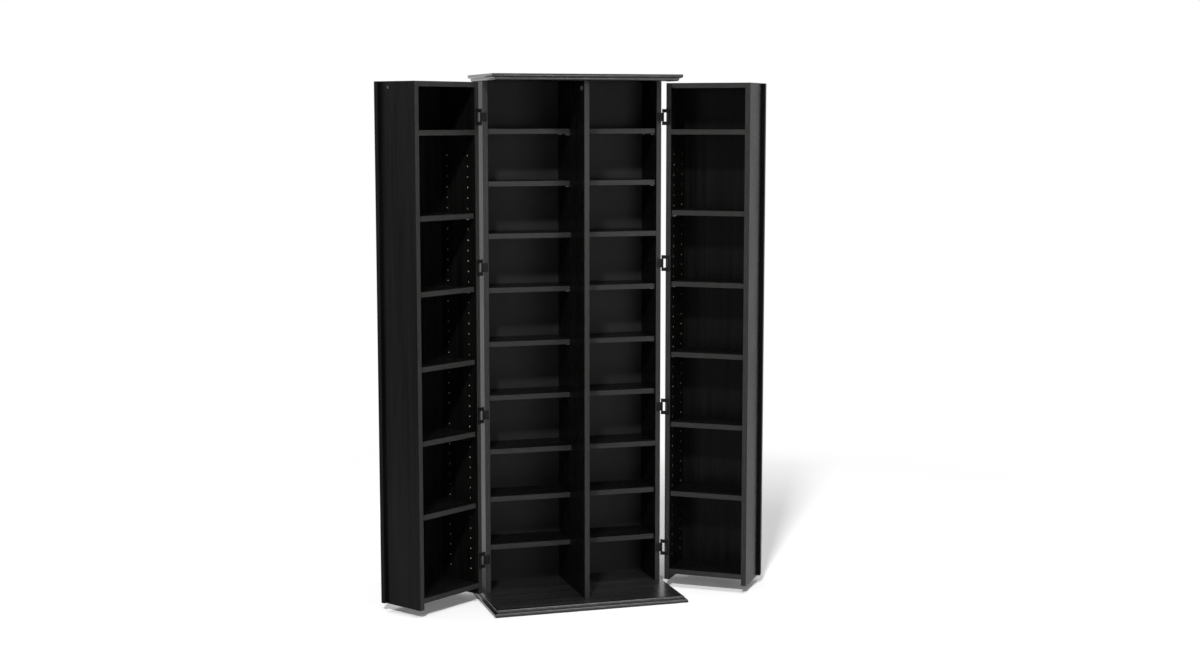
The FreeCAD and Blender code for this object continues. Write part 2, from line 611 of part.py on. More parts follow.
def door_leaves(side):
    """Taller leaf with two knuckles and the pin. Its window takes the cabinet leaf of a closed door."""
    body = new_body(f"{side}_hinge_door_leaves")
    z = f"{HINGE_FIRST_Z} - Sizes.hinge_height / 2"
    leaf_plate(body, side, "Sizes.door_leaf_width", DOOR_OPEN_Y, z, "Sizes.hinge_height")
    hinge_round(body, "Sizes.knuckle_radius", z, "Sizes.hinge_height")
    window_height = "(Sizes.hinge_middle + 2 * Sizes.leaf_gap)"
    window_end = "(Sizes.cabinet_leaf_width + Sizes.leaf_gap)"
    reach = "(2 * Sizes.knuckle_radius)"
    corner = (low_x(side, f"-{reach}", window_end), f"-{reach}", f"{HINGE_FIRST_Z} + {window_height} / 2")
    window = new_sketch(body, "XY_Plane", corner)
    add_rectangle(window, f"{reach} + {window_end}", f"2 * {reach}")
    pocket(body, window, window_height)
    hinge_round(body, "Sizes.hinge_pin_radius", z, "Sizes.hinge_height")
    repeat_hinges(body)
    hang(body, side)


BASE_HALF = f"({HALF_WIDTH} + Sizes.base_overhang)"
TOP_HALF = f"({HALF_WIDTH} + Sizes.top_overhang)"
moulded_board("base_board", BASE_HALF, BASE_REACH, "0", FLOOR_Z, True)
moulded_board("top_board", TOP_HALF, TOP_REACH, TOP_Z, "Sizes.top_thickness", False)
cabinet_side("left")
cabinet_side("right")
centre_divider()
board(
    "back_panel",
    (f"Sizes.rabbet_width - {HALF_WIDTH}", INNER_BACK_Y, FLOOR_Z),
    ("Sizes.cabinet_width - 2 * Sizes.rabbet_width", "Sizes.back_thickness", "Sizes.side_height"),
)
cabinet_shelves("left")
cabinet_shelves("right")
cabinet_pegs()
catch_plates()
for door in ("left", "right"):
    cabinet_leaves(door)
    door_box(door)
    door_pegs(door)
    door_front(door)
    door_knob(door)
    door_magnet(door)
    door_leaves(door)
doc.recompute()

for item in doc.Objects:
    if "Invalid" in item.State or "Error" in item.State:
        raise RuntimeError(f"{item.Label} could not be built: {item.getStatusString()}")
for item in nodes:
    if item.Shape.isNull() or not item.Shape.isValid():
        raise RuntimeError(f"{item.Label} has no valid solid")
    item.Shape.exportStep(f"parts/{item.Label}.step")
    print(item.Label, len(item.Shape.Solids), round(item.Shape.Volume))
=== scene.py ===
# %% [markdown]
# # A storage tower with box doors
# The solids of the tower come in ready made, and each one stays exactly where it is. This lesson gives
# them their finishes, eases their sharp edges, and adds the small things that a joiner adds last:
# screws, round pegs, spare peg holes, nails and turned knobs. All lengths are in metres, and +Z is up.

# %% Load the solids
import bmesh
import bpy
import json
import math
from mathutils import Matrix, Vector


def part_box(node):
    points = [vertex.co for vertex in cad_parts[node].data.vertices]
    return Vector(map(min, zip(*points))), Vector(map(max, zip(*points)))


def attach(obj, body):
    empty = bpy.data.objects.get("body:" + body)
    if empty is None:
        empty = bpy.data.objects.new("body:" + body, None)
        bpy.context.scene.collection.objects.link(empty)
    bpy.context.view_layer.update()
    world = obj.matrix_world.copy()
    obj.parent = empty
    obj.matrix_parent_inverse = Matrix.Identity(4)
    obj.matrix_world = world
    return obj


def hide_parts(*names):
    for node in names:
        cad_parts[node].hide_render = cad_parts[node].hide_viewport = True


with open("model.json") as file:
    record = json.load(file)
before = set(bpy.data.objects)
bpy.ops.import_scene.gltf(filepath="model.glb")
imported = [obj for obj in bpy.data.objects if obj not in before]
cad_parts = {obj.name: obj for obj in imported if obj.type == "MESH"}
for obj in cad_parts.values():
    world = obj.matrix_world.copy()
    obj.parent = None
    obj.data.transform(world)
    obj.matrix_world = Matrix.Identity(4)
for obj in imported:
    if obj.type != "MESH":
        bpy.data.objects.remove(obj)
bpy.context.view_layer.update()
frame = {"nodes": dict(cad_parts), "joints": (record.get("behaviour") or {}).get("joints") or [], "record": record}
nodes = frame["nodes"]
collection = bpy.context.scene.collection

# %% [markdown]
# ## Camera
# The picture is taken from a little left of the tower, at about the height of a standing person's eyes,
# with the camera tipped slightly down. A long lens keeps the upright edges nearly parallel, as in a
# catalogue photograph. A short lens, nearer by, would make them lean.

# %% Set up the camera
tip_down = math.radians(6.861)
turn_right = math.radians(17.029)
camera_data = bpy.data.cameras.new("camera")
camera_data.lens = 54.56
camera_data.sensor_width = 36.0
camera = bpy.data.objects.new("camera", camera_data)
camera.location = (-1.5694, -5.3722, 1.5007)
camera.rotation_euler = (math.radians(90.0) - tip_down, 0.0, -turn_right)
collection.objects.link(camera)
bpy.context.scene.camera = camera
print("camera at", tuple(round(v, 4) for v in camera.location))

# %% [markdown]
# ## The frame of a door
# Both doors stand open. Small pieces are easier to place on a closed door, so each door gets a matrix
# that takes a point of the closed door, measured from its hinge line, to where the open door has it. The
# hinge lines and angles come with the joints: a joint's lower limit is the closed door.

# %% Find the two door frames
door_place = {}
door_turn = {}
for joint in frame["joints"]:
    side = joint["name"].split("_")[0]
    x, y, _ = joint["pos_m"]
    door_turn[side] = -math.radians(joint["range_deg"][0]) * joint["axis"][2]
    door_place[side] = Matrix.Translation((x, y, 0.0)) @ Matrix.Rotation(door_turn[side], 4, "Z")
toward_free = {"left": 1.0, "right": -1.0}
print("doors open by", {side: round(math.degrees(turn), 1) for side, turn in door_turn.items()})

# %% [markdown]
# ## Black laminate
# Every board is particle board covered with a black printed foil. The foil has a fine open grain pressed
# into it, which runs along the board. An image could carry that grain, but a stretched noise gives it at
# any scale and follows each board's own length. The noise darkens and lightens the black a very little,
# and changes the gloss a little more, because gloss is what the eye reads on a black surface.


# %% Start a material, and put noise into it
def new_material(name):
    """A material with its node tree and its main shader."""
    material = bpy.data.materials.new(name)
    material.use_nodes = True
    tree = material.node_tree
    return material, tree, tree.nodes["Principled BSDF"]


def add_noise(tree, vector, scale, detail=3.0, distortion=0.0):
    """Noise on a vector that is first stretched by a scale along each axis."""
    mapping = tree.nodes.new("ShaderNodeMapping")
    mapping.inputs["Scale"].default_value = scale
    tree.links.new(vector, mapping.inputs["Vector"])
    noise = tree.nodes.new("ShaderNodeTexNoise")
    noise.inputs["Scale"].default_value = 1.0
    noise.inputs["Detail"].default_value = detail
    noise.inputs["Distortion"].default_value = distortion
    tree.links.new(mapping.outputs["Vector"], noise.inputs["Vector"])
    return noise.outputs["Fac"]


print("helpers for new materials and noise")


# %% Turn noise into gloss, tones and relief
def remap(tree, value, low, high, first, second):
    """Maps a value between low and high to the range from first to second."""
    node = tree.nodes.new("ShaderNodeMapRange")
    for key, number in zip(("From Min", "From Max", "To Min", "To Max"), (low, high, first, second)):
        node.inputs[key].default_value = number
    tree.links.new(value, node.inputs["Value"])
    return node.outputs["Result"]


def tones(tree, value, stops):
    """Colours along a value, as pairs of place and colour."""
    node = tree.nodes.new("ShaderNodeValToRGB")
    elements = node.color_ramp.elements
    while len(elements) < len(stops):
        elements.new(0.5)
    for element, (place, colour) in zip(elements, stops):
        element.position = place
        element.color = (*colour, 1.0)
    tree.links.new(value, node.inputs["Fac"])
    return node.outputs["Color"]


def emboss(tree, shader, height, strength, distance):
    """Bump from a height."""
    bump = tree.nodes.new("ShaderNodeBump")
    bump.inputs["Strength"].default_value = strength
    bump.inputs["Distance"].default_value = distance
    tree.links.new(height, bump.inputs["Height"])
    tree.links.new(bump.outputs["Normal"], shader.inputs["Normal"])


def combine(tree, operation, first, second):
    """The sum, product or maximum of two values."""
    node = tree.nodes.new("ShaderNodeMath")
    node.operation = operation
    tree.links.new(first, node.inputs[0])
    tree.links.new(second, node.inputs[1])
    return node.outputs["Value"]


print("helpers for gloss, tones and relief")

# %% [markdown]
# ### Where the laminate differs
# Three things differ by the way a surface faces. The open edges of the boards have a plastic edge band,
# a little greyer than the foil and painted lighter still, as a painted highlight: the cabinet's face the
# front, and a door's face the cabinet when it is closed. The beads round the base and the top are polished,
# so that they draw bright lines. The level faces there are satin like all the foil, but painted greyer: a
# painted sheen, as of light glancing off them.
#
# Each could be a material of its own, given face by face. Here the surface's normal picks them out, which
# leaves the solids as they are. On a door the normal is first turned back by the angle of the open door.


# %% Which way a surface faces
def turned_back(tree, vector, turn):
    """A vector in the frame of the closed door."""
    align = tree.nodes.new("ShaderNodeMapping")
    align.inputs["Rotation"].default_value = (0.0, 0.0, -turn)
    tree.links.new(vector, align.inputs["Vector"])
    return align.outputs["Vector"]


def facing(tree, place, turn, axis):
    """How squarely the surface faces along an axis of the closed door, from -1 to 1."""
    split = tree.nodes.new("ShaderNodeSeparateXYZ")
    tree.links.new(turned_back(tree, place.outputs["Normal"], turn), split.inputs["Vector"])
    return split.outputs[axis]


def mix_colours(tree, share, first, second):
    """The first colour where the share is 0, and the second where it is 1."""
    mix = tree.nodes.new("ShaderNodeMix")
    mix.data_type = "RGBA"
    tree.links.new(share, mix.inputs["Factor"])
    tree.links.new(first, mix.inputs["A"])
    tree.links.new(second, mix.inputs["B"])
    return mix.outputs["Result"]


print("helpers for surfaces that face one way")

# %% Tones, gloss and scales of the foil
# A scale is the number of noise cells in a metre, first across the grain and then along it. Gloss is a
# range of roughness, and beads and smudges add to it. Limits say how squarely a surface faces where a
# finish starts and where it is complete.
foil_dark = (0.0022, 0.0022, 0.0021)
foil_light = (0.0064, 0.0062, 0.0060)
foil_gloss = (0.21, 0.31)
foil_specular = 0.05
pore_scale = (900.0, 28.0)
pore_strength = 0.12
pore_depth = 0.0004
figure_scale = (70.0, 2.2)
smudge_scale = (6.0, 6.0, 6.0)
smudge_gloss = (-0.02, 0.04)
# The edge band is grey, and painted lighter still: a painted highlight on the front edges.
band_and_highlight_dark = (0.020, 0.020, 0.0195)
band_and_highlight_light = (0.036, 0.036, 0.0350)
band_limits = (0.80, 0.95)
# Painted sheen: the level faces of the base and the top are painted lighter, as if light glanced off them.
painted_sheen_dark = (0.0070, 0.0069, 0.0067)
painted_sheen_light = (0.0260, 0.0256, 0.0250)
level_limits = (0.985, 0.999)
bead_polish = -0.17
bead_specular = 0.48
print("foil gloss", foil_gloss, "pores in a metre", pore_scale)


# %% Black laminate for boards that lie or stand in any direction
def black_laminate(name, upright, turn=0.0, band=0.0, beads=False, specular=foil_specular):
    """Grain along Z on upright boards, and along X on level ones, turned about Z with their door.

    Band is the direction along Y in which banded edges face, or 0 for none. With beads, only the faces
    that look up are satin."""
    material, tree, shader = new_material(name)
    place = tree.nodes.new("ShaderNodeTexCoord")
    vector = turned_back(tree, place.outputs["Object"], turn)

    def along_grain(across, along):
        return (across, across, along) if upright else (along, across, across)

    pores = add_noise(tree, vector, along_grain(*pore_scale), detail=3.0, distortion=0.2)
    figure = add_noise(tree, vector, along_grain(*figure_scale), detail=4.0, distortion=0.8)
    smudges = add_noise(tree, vector, smudge_scale)
    colour = tones(tree, figure, [(0.32, foil_dark), (0.70, foil_light)])
    gloss = remap(tree, pores, 0.35, 0.65, *foil_gloss)
    if band:
        start, end = (band * limit for limit in band_limits)
        edge = remap(tree, facing(tree, place, turn, "Y"), start, end, 0.0, 1.0)
        # The edge band's own grey, lightened further as a painted highlight.
        band_and_highlight_grey = tones(tree, pores, [(0.30, band_and_highlight_dark), (0.70, band_and_highlight_light)])
        colour = mix_colours(tree, edge, colour, band_and_highlight_grey)
    if beads:
        level = remap(tree, facing(tree, place, turn, "Z"), *level_limits, 0.0, 1.0)
        # A painted sheen: the faces that look up are painted lighter.
        painted_sheen_tones = tones(tree, figure, [(0.30, painted_sheen_dark), (0.72, painted_sheen_light)])
        colour = mix_colours(tree, level, colour, painted_sheen_tones)
        gloss = combine(tree, "ADD", gloss, remap(tree, level, 0.0, 1.0, bead_polish, 0.0))
    gloss = combine(tree, "ADD", gloss, remap(tree, smudges, 0.3, 0.7, *smudge_gloss))
    tree.links.new(colour, shader.inputs["Base Color"])
    tree.links.new(gloss, shader.inputs["Roughness"])
    emboss(tree, shader, pores, pore_strength, pore_depth)
    shader.inputs["Specular IOR Level"].default_value = specular
    return material


laminate_upright = black_laminate("laminate_upright", True, band=-1.0)
laminate_level = black_laminate("laminate_level", False, band=-1.0)
laminate_front = black_laminate("laminate_front", True)
laminate_moulded = black_laminate("laminate_moulded", False, beads=True, specular=bead_specular)
door_upright = {}
door_level = {}
for side, turn in door_turn.items():
    door_upright[side] = black_laminate(f"laminate_{side}_door_upright", True, turn, 1.0)
    door_level[side] = black_laminate(f"laminate_{side}_door_level", False, turn, 1.0)
print("laminates", [m.name for m in bpy.data.materials if m.name.startswith("laminate")])

# %% [markdown]
# ## The other finishes
# The back is hardboard with a dull black coat, through which its pressed fibres still show. The hinges
# have a black powder coat with a slight orange peel. Pegs and catch plates are bright zinc, a little
# cloudy, and the nails are blued steel. The knobs are black nickel. Where a drill has gone through the
# foil, the pale chips of the particle board show. Each of these is a few noises at the scale of the real
# thing, so one helper makes them all.


# %% Speckled finishes
def speckled(name, dark, light, scale, gloss, relief, metallic=0.0, specular=0.4, cloud=8.0):
    """Fine speckle and broad cloud between two colours, with gloss and relief from the same speckle."""
    material, tree, shader = new_material(name)
    vector = tree.nodes.new("ShaderNodeTexCoord").outputs["Object"]
    speckle = add_noise(tree, vector, (scale, scale, scale), detail=4.0)
    clouds = add_noise(tree, vector, (cloud, cloud, cloud))
    mixed = remap(tree, combine(tree, "ADD", speckle, clouds), 0.7, 1.3, 0.0, 1.0)
    tree.links.new(tones(tree, mixed, [(0.1, dark), (0.9, light)]), shader.inputs["Base Color"])
    tree.links.new(remap(tree, speckle, 0.3, 0.7, *gloss), shader.inputs["Roughness"])
    emboss(tree, shader, speckle, relief, speckle_depth)
    shader.inputs["Metallic"].default_value = metallic
    shader.inputs["Specular IOR Level"].default_value = specular
    return material


speckle_depth = 0.0003
hardboard = speckled(
    "hardboard", dark=(0.007, 0.007, 0.007), light=(0.015, 0.0148, 0.0145), scale=600.0,
    gloss=(0.50, 0.70), relief=0.20, specular=0.2)
powder_coat = speckled(
    "powder_coat", dark=(0.003, 0.003, 0.003), light=(0.008, 0.008, 0.008), scale=1400.0,
    gloss=(0.42, 0.56), relief=0.20, specular=0.10)
bright_zinc = speckled(
    "bright_zinc", dark=(0.46, 0.46, 0.47), light=(0.68, 0.68, 0.69), scale=900.0,
    gloss=(0.24, 0.40), relief=0.08, metallic=1.0, specular=0.5, cloud=90.0)
black_nickel = speckled(
    "black_nickel", dark=(0.040, 0.038, 0.037), light=(0.058, 0.055, 0.053), scale=700.0,
    gloss=(0.18, 0.26), relief=0.02, metallic=1.0, specular=0.5, cloud=60.0)
blued_steel = speckled(
    "blued_steel", dark=(0.060, 0.062, 0.068), light=(0.110, 0.112, 0.120), scale=900.0,
    gloss=(0.26, 0.40), relief=0.05, metallic=1.0, specular=0.5, cloud=90.0)
barrel_plastic = speckled(
    "barrel_plastic", dark=(0.006, 0.006, 0.006), light=(0.012, 0.012, 0.012), scale=2200.0,
    gloss=(0.30, 0.42), relief=0.10)
ferrite = speckled(
    "ferrite", dark=(0.020, 0.019, 0.019), light=(0.055, 0.053, 0.052), scale=1800.0,
    gloss=(0.40, 0.60), relief=0.20)
chip_core = speckled(
    "chip_core", dark=(0.20, 0.13, 0.075), light=(0.62, 0.48, 0.32), scale=1100.0,
    gloss=(0.80, 0.95), relief=0.60, specular=0.1)
print("materials", len(bpy.data.materials))

# %% [markdown]
# ## Floor, backdrop and light
# The tower stands on a plain pale floor. The world is white to the camera and to reflections, and gives a
# soft fill light. The floor is ordinary paint near the tower, so that it takes the shadow. Where it is
# seen directly it also glows a little, more so farther out, and it ends in the same white as the world.
# Stronger lamps would whiten the floor too, but they would also bleach the tower.
#
# A key lamp far off at the front left throws the shadow to the right, behind the tower. A lamp at the
# right, lower than the top of the tower, shines on the front edges of the boards. A broad one overhead
# shines in the beads, and a small one behind at the left keeps the floor bright there.


# %% White to the camera and to reflections
def seen_directly(tree):
    """One for rays that show the background as it is: camera, glossy and transmission rays."""
    rays = tree.nodes.new("ShaderNodeLightPath")
    value = rays.outputs["Is Camera Ray"]
    for kind in ("Is Glossy Ray", "Is Transmission Ray"):
        value = combine(tree, "MAXIMUM", value, rays.outputs[kind])
    return value


world = bpy.data.worlds.new("studio")
bpy.context.scene.world = world
world.use_nodes = True
world_tree = world.node_tree
fill_light = 0.08
fill = world_tree.nodes["Background"]
fill.inputs["Color"].default_value = (1.0, 1.0, 1.0, 1.0)
fill.inputs["Strength"].default_value = fill_light
white = world_tree.nodes.new("ShaderNodeBackground")
white.inputs["Color"].default_value = (1.0, 1.0, 1.0, 1.0)
white.inputs["Strength"].default_value = 1.0
choice = world_tree.nodes.new("ShaderNodeMixShader")
world_tree.links.new(seen_directly(world_tree), choice.inputs["Fac"])
world_tree.links.new(fill.outputs["Background"], choice.inputs[1])
world_tree.links.new(white.outputs["Background"], choice.inputs[2])
world_tree.links.new(choice.outputs["Shader"], world_tree.nodes["World Output"].inputs["Surface"])
bpy.context.scene.view_settings.view_transform = "Standard"
print("fill light", fill_light)

# %% Floor
floor_half = 40.0
floor_drop = 0.0005
floor_corners = [(x * floor_half, y * floor_half, 0.0) for x, y in ((-1, -1), (1, -1), (1, 1), (-1, 1))]
floor_mesh = bpy.data.meshes.new("floor")
floor_mesh.from_pydata(floor_corners, [], [(0, 1, 2, 3)])
floor = bpy.data.objects.new("floor", floor_mesh)
floor.location.z = -floor_drop
collection.objects.link(floor)
print("floor at", round(floor.location.z, 4))

# %% Floor paint that ends in white
near_glow = 0.12
far_glow = 0.36
glow_reach = (1.0, 2.2)
white_reach = (1.4, 2.8)
floor_paint, floor_tree, floor_shader = new_material("floor_paint")
floor_shader.inputs["Base Color"].default_value = (0.97, 0.97, 0.97, 1.0)
floor_shader.inputs["Roughness"].default_value = 0.9
floor_shader.inputs["Specular IOR Level"].default_value = 0.0
from_tower = floor_tree.nodes.new("ShaderNodeVectorMath")
from_tower.operation = "LENGTH"
floor_tree.links.new(floor_tree.nodes.new("ShaderNodeTexCoord").outputs["Object"], from_tower.inputs[0])
distance = from_tower.outputs["Value"]
seen = seen_directly(floor_tree)
glow_there = remap(floor_tree, distance, *glow_reach, near_glow, far_glow)
glow = floor_tree.nodes.new("ShaderNodeEmission")
floor_tree.links.new(combine(floor_tree, "MULTIPLY", seen, glow_there), glow.inputs["Strength"])
near_floor = floor_tree.nodes.new("ShaderNodeAddShader")
floor_tree.links.new(floor_shader.outputs["BSDF"], near_floor.inputs[0])
floor_tree.links.new(glow.outputs["Emission"], near_floor.inputs[1])
white_there = remap(floor_tree, distance, *white_reach, 0.0, 1.0)
plain_white = floor_tree.nodes.new("ShaderNodeEmission")
floor_mix = floor_tree.nodes.new("ShaderNodeMixShader")
floor_tree.links.new(combine(floor_tree, "MULTIPLY", seen, white_there), floor_mix.inputs["Fac"])
floor_tree.links.new(near_floor.outputs["Shader"], floor_mix.inputs[1])
floor_tree.links.new(plain_white.outputs["Emission"], floor_mix.inputs[2])
floor_tree.links.new(floor_mix.outputs["Shader"], floor_tree.nodes["Material Output"].inputs["Surface"])
floor_mesh.materials.append(floor_paint)
print("floor is white from", white_reach[1])


# %% Soft lamps
def soft_lamp(name, place, target, width, height, power):
    """A rectangular lamp at a place, turned to a target."""
    data = bpy.data.lights.new(name, "AREA")
    data.shape = "RECTANGLE"
    data.size = width
    data.size_y = height
    data.energy = power
    lamp = bpy.data.objects.new(name, data)
    lamp.location = place
    lamp.rotation_euler = (Vector(target) - Vector(place)).to_track_quat("-Z", "Y").to_euler()
    collection.objects.link(lamp)


soft_lamp("key_lamp", (-3.81, -8.10, 8.4), (0.4, 0.2, 0.2), width=0.9, height=0.9, power=1080.0)
soft_lamp("edge_lamp", (1.3, -4.4, 1.15), (0.0, 0.0, 1.0), width=1.4, height=0.7, power=30.0)
soft_lamp("overhead_lamp", (0.8, -0.8, 3.3), (0.3, -0.1, 0.6), width=0.8, height=1.8, power=42.0)
soft_lamp("floor_lamp", (-1.7, 1.0, 1.8), (-0.7, 0.0, 0.0), width=1.0, height=1.0, power=22.0)

# %% [markdown]
# ## Give each board its grain direction
# Sides, divider and door fronts stand upright. Shelves, base, top and the boards across a door lie level.
# A level board in a door turns with that door, so its grain does too. Real boards have slightly rounded
# edges, and those thin bright lines tell the eye where one board ends. A bevel rounds them without
# touching the solids. The door fronts are moulded, so their edges are rounder.


# %% Ease the edges of a board
def keep_flat(piece):
    """Lets the large faces set the shading, so that rounded edges don't make them look bent."""
    normals = piece.modifiers.new("flat_faces", "WEIGHTED_NORMAL")
    normals.keep_sharp = True


def ease_edges(piece, width, segments):
    """Joins split corners, rounds the edges, and keeps the flat faces flat."""
    weld = piece.modifiers.new("weld", "WELD")
    weld.merge_threshold = weld_reach
    bevel = piece.modifiers.new("eased_edges", "BEVEL")
    bevel.width = width
    bevel.segments = segments
    bevel.limit_method = "ANGLE"
    bevel.angle_limit = sharp_angle
    keep_flat(piece)


weld_reach = 1e-5
sharp_angle = math.radians(40.0)
print("edges are eased where faces turn by", round(math.degrees(sharp_angle)))


# %% Dress the boards
def grain_for(name):
    """The laminate whose grain runs along a board."""
    if name in ("base_board", "top_board"):
        return laminate_moulded
    if name.endswith("door_front"):
        return laminate_front
    upright = "side" in name or "divider" in name
    side = name.split("_")[0]
    if name.startswith(f"{side}_door"):
        return door_upright[side] if upright else door_level[side]
    return laminate_upright if upright else laminate_level


board_edge = 0.0007
board_steps = 2
front_edge = 0.0024
front_steps = 4
slot_of = {entry["node"]: entry["material_slot"] for entry in frame["record"]["subparts"]}
boards = [name for name in nodes if slot_of[name] == "black_laminate"]
for name in boards:
    nodes[name].data.materials.clear()
    nodes[name].data.materials.append(grain_for(name))
    if name.endswith("door_front"):
        ease_edges(nodes[name], front_edge, front_steps)
    else:
        ease_edges(nodes[name], board_edge, board_steps)
print("boards", len(boards))

# %% [markdown]
# ## Shelf pegs
# Each loose shelf lies on four steel pins. A real pin is round, with a thin collar that stops it against
# the board. The solids have six-sided pins, so their boxes give the place and length of each one, and a
# turned pin with a collar stands for it. The collar fits in the play beside the end of the shelf.
#
# Pegs, screws, knobs and magnets are all turned on a lathe. Blender's screw modifier could turn them, but
# a helper that spins an outline can put a whole row of closed shapes into one mesh.


# %% Turn an outline into a mesh
def add_turned(form, outline, place, around=20, finish=0):
    """Adds a closed turned shape: rings of (radius, height) about the Z axis of a place."""
    rings = []
    for radius, height in outline:
        count = around if radius > 0.0 else 1
        angles = [2.0 * math.pi * k / count for k in range(count)]
        points = [Vector((radius * math.cos(a), radius * math.sin(a), height)) for a in angles]
        rings.append([form.verts.new(place @ point) for point in points])
    for low, high in zip(rings, rings[1:]):
        for k in range(around):
            corners = [low[k % len(low)], low[(k + 1) % len(low)]]
            corners += [high[(k + 1) % len(high)], high[k % len(high)]]
            form.faces.new(list(dict.fromkeys(corners))).material_index = finish


def crease(form):
    """Smooth faces, with a crease wherever two faces meet at a sharp edge."""
    for face in form.faces:
        face.smooth = True
    for edge in form.edges:
        edge.smooth = edge.calc_face_angle(0.0) < crease_angle


def to_mesh(name, form, finishes):
    """Closes a form into a mesh."""
    bmesh.ops.recalc_face_normals(form, faces=form.faces)
    crease(form)
    mesh = bpy.data.meshes.new(name)
    form.to_mesh(mesh)
    form.free()
    for finish in finishes:
        mesh.materials.append(finish)
    return mesh


def place_piece(name, mesh, body, slot, *replaced):
    """Links a mesh as a piece that rides a body and may stand for solids."""
    piece = bpy.data.objects.new(name, mesh)
    collection.objects.link(piece)
    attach(piece, body)
    if replaced:
        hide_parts(*replaced)
    return piece


crease_angle = math.radians(26.0)
print("faces are creased where they turn by", round(math.degrees(crease_angle)))


# %% Find each separate solid of a node
def separate_boxes(node, into=Matrix.Identity(4)):
    """Lowest and highest corner of each separate solid of a node, seen from another frame."""
    form = bmesh.new()
    form.from_mesh(nodes[node].data)
    bmesh.ops.remove_doubles(form, verts=form.verts, dist=same_point)
    waiting = set(form.verts)
    boxes = []
    while waiting:
        group = [waiting.pop()]
        for vert in group:
            for edge in vert.link_edges:
                other = edge.other_vert(vert)
                if other in waiting:
                    waiting.remove(other)
                    group.append(other)
        points = [into @ vert.co for vert in group]
        low = Vector([min(p[axis] for p in points) for axis in range(3)])
        high = Vector([max(p[axis] for p in points) for axis in range(3)])
        boxes.append((low, high))
    form.free()
    return sorted(boxes, key=lambda pair: [round(v, 5) for v in pair[0]])


def inner_faces(side):
    """The inner faces of a door's two sides: x on the closed door, and the way into the door."""
    faces = []
    for name, inward in (("hinge_side", toward_free[side]), ("free_side", -toward_free[side])):
        low, high = separate_boxes(f"{side}_door_{name}", door_place[side].inverted())[0]
        faces.append((high.x if inward > 0 else low.x, inward))
    return faces


same_point = 1e-6
door_walls = {side: inner_faces(side) for side in door_place}
divider_low, divider_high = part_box("centre_divider")
cabinet_walls = [(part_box("left_side")[1].x, 1), (divider_low.x, -1)]
cabinet_walls += [(divider_high.x, 1), (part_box("right_side")[0].x, -1)]
print("door walls", {side: [round(x, 4) for x, _ in walls] for side, walls in door_walls.items()})
print("cabinet walls", [round(x, 4) for x, _ in cabinet_walls])

# %% Turn the pegs
pin_radius = 0.0021
collar_radius = 0.0036
collar_width = 0.0007
pin_chamfer = 0.0004


def peg_outline(length, collars):
    """A pin with chamfered ends, and a collar at each given height."""
    outline = [(0.0, 0.0), (pin_radius - pin_chamfer, 0.0), (pin_radius, pin_chamfer)]
    for start in collars:
        end = start + collar_width
        outline += [(pin_radius, start), (collar_radius, start), (collar_radius, end), (pin_radius, end)]
    outline += [(pin_radius, length - pin_chamfer), (pin_radius - pin_chamfer, length), (0.0, length)]
    return outline


def turn_pegs(node, body, place, walls):
    """Walls are pairs of x and the direction in which a peg leaves the wall."""
    form = bmesh.new()
    boxes = separate_boxes(node, place.inverted())
    for low, high in boxes:
        middle = (low + high) / 2
        collars = []
        for x, direction in walls:
            if low.x < x < high.x:
                collars.append((x if direction > 0 else x - collar_width) - low.x)
        spot = place @ Matrix.Translation((low.x, middle.y, middle.z)) @ along_x
        add_turned(form, peg_outline(high.x - low.x, sorted(collars)), spot, around=16)
    mesh = to_mesh(node + "_turned", form, [bright_zinc])
    place_piece(node + "_turned", mesh, body, "peg_steel", node)
    return boxes


along_x = Matrix.Rotation(math.radians(90.0), 4, "Y")
turn_pegs("cabinet_shelf_pegs", "cabinet", Matrix.Identity(4), cabinet_walls)
door_pegs = {}
for side, place in door_place.items():
    door_pegs[side] = turn_pegs(f"{side}_door_shelf_pegs", f"{side}_door", place, door_walls[side])
print("door pegs", {side: len(boxes) for side, boxes in door_pegs.items()})

# %% [markdown]
# ## Spare peg holes in the doors
# The door sides have two lines of holes, with a hole every 32 mm, so that the shelves can be moved. The
# solids only have the holes in use. Here the spare ones are drilled too, between the shelves and for some
# way below and above them.
#
# The holes are really cut: a copy of a solid loses the shape of the drill, and the copy then stands in
# for the solid. A dark dot painted on the surface would be quicker, but would not look right close up.
# The drill has the colour of the particle board, which the cut surfaces take over.


# %% Carve a copy of a solid
def node_copy(node, finishes):
    """A copy of a node's solid, with shared corners and plain flat shading."""
    form = bmesh.new()
    form.from_mesh(nodes[node].data)
    bmesh.ops.remove_doubles(form, verts=form.verts, dist=same_point)
    mesh = to_mesh(node + "_copy", form, finishes)
    if "custom_normal" in mesh.attributes:
        mesh.attributes.remove(mesh.attributes["custom_normal"])
    return mesh


def carved(name, solid, cutter, edge=0.0):
    """The solid, with eased edges where an edge width is given, after the cutter is taken away."""
    block = bpy.data.objects.new("block", solid)
    blade = bpy.data.objects.new("blade", cutter)
    for item in (block, blade):
        collection.objects.link(item)
    if edge:
        ease_edges(block, edge, board_steps)
        block.modifiers.remove(block.modifiers["flat_faces"])
    step = block.modifiers.new("carve", "BOOLEAN")
    step.operation = "DIFFERENCE"
    step.solver = "EXACT"
    step.material_mode = "TRANSFER"
    step.object = blade
    bpy.context.view_layer.update()
    view = bpy.context.evaluated_depsgraph_get()
    mesh = bpy.data.meshes.new_from_object(block.evaluated_get(view))
    mesh.name = name
    bpy.data.objects.remove(block)
    bpy.data.objects.remove(blade)
    form = bmesh.new()
    form.from_mesh(mesh)
    crease(form)
    form.to_mesh(mesh)
    form.free()
    return mesh


print("helpers for carving")

# %% Drill the door sides
hole_pitch = 0.032
hole_radius = 0.0025
hole_depth = 0.009
extra_holes = 6
drill_lead = 0.001
drill_outline = [(0.0, -drill_lead), (hole_radius, -drill_lead)]
drill_outline += [(hole_radius, hole_depth), (0.0, hole_depth)]


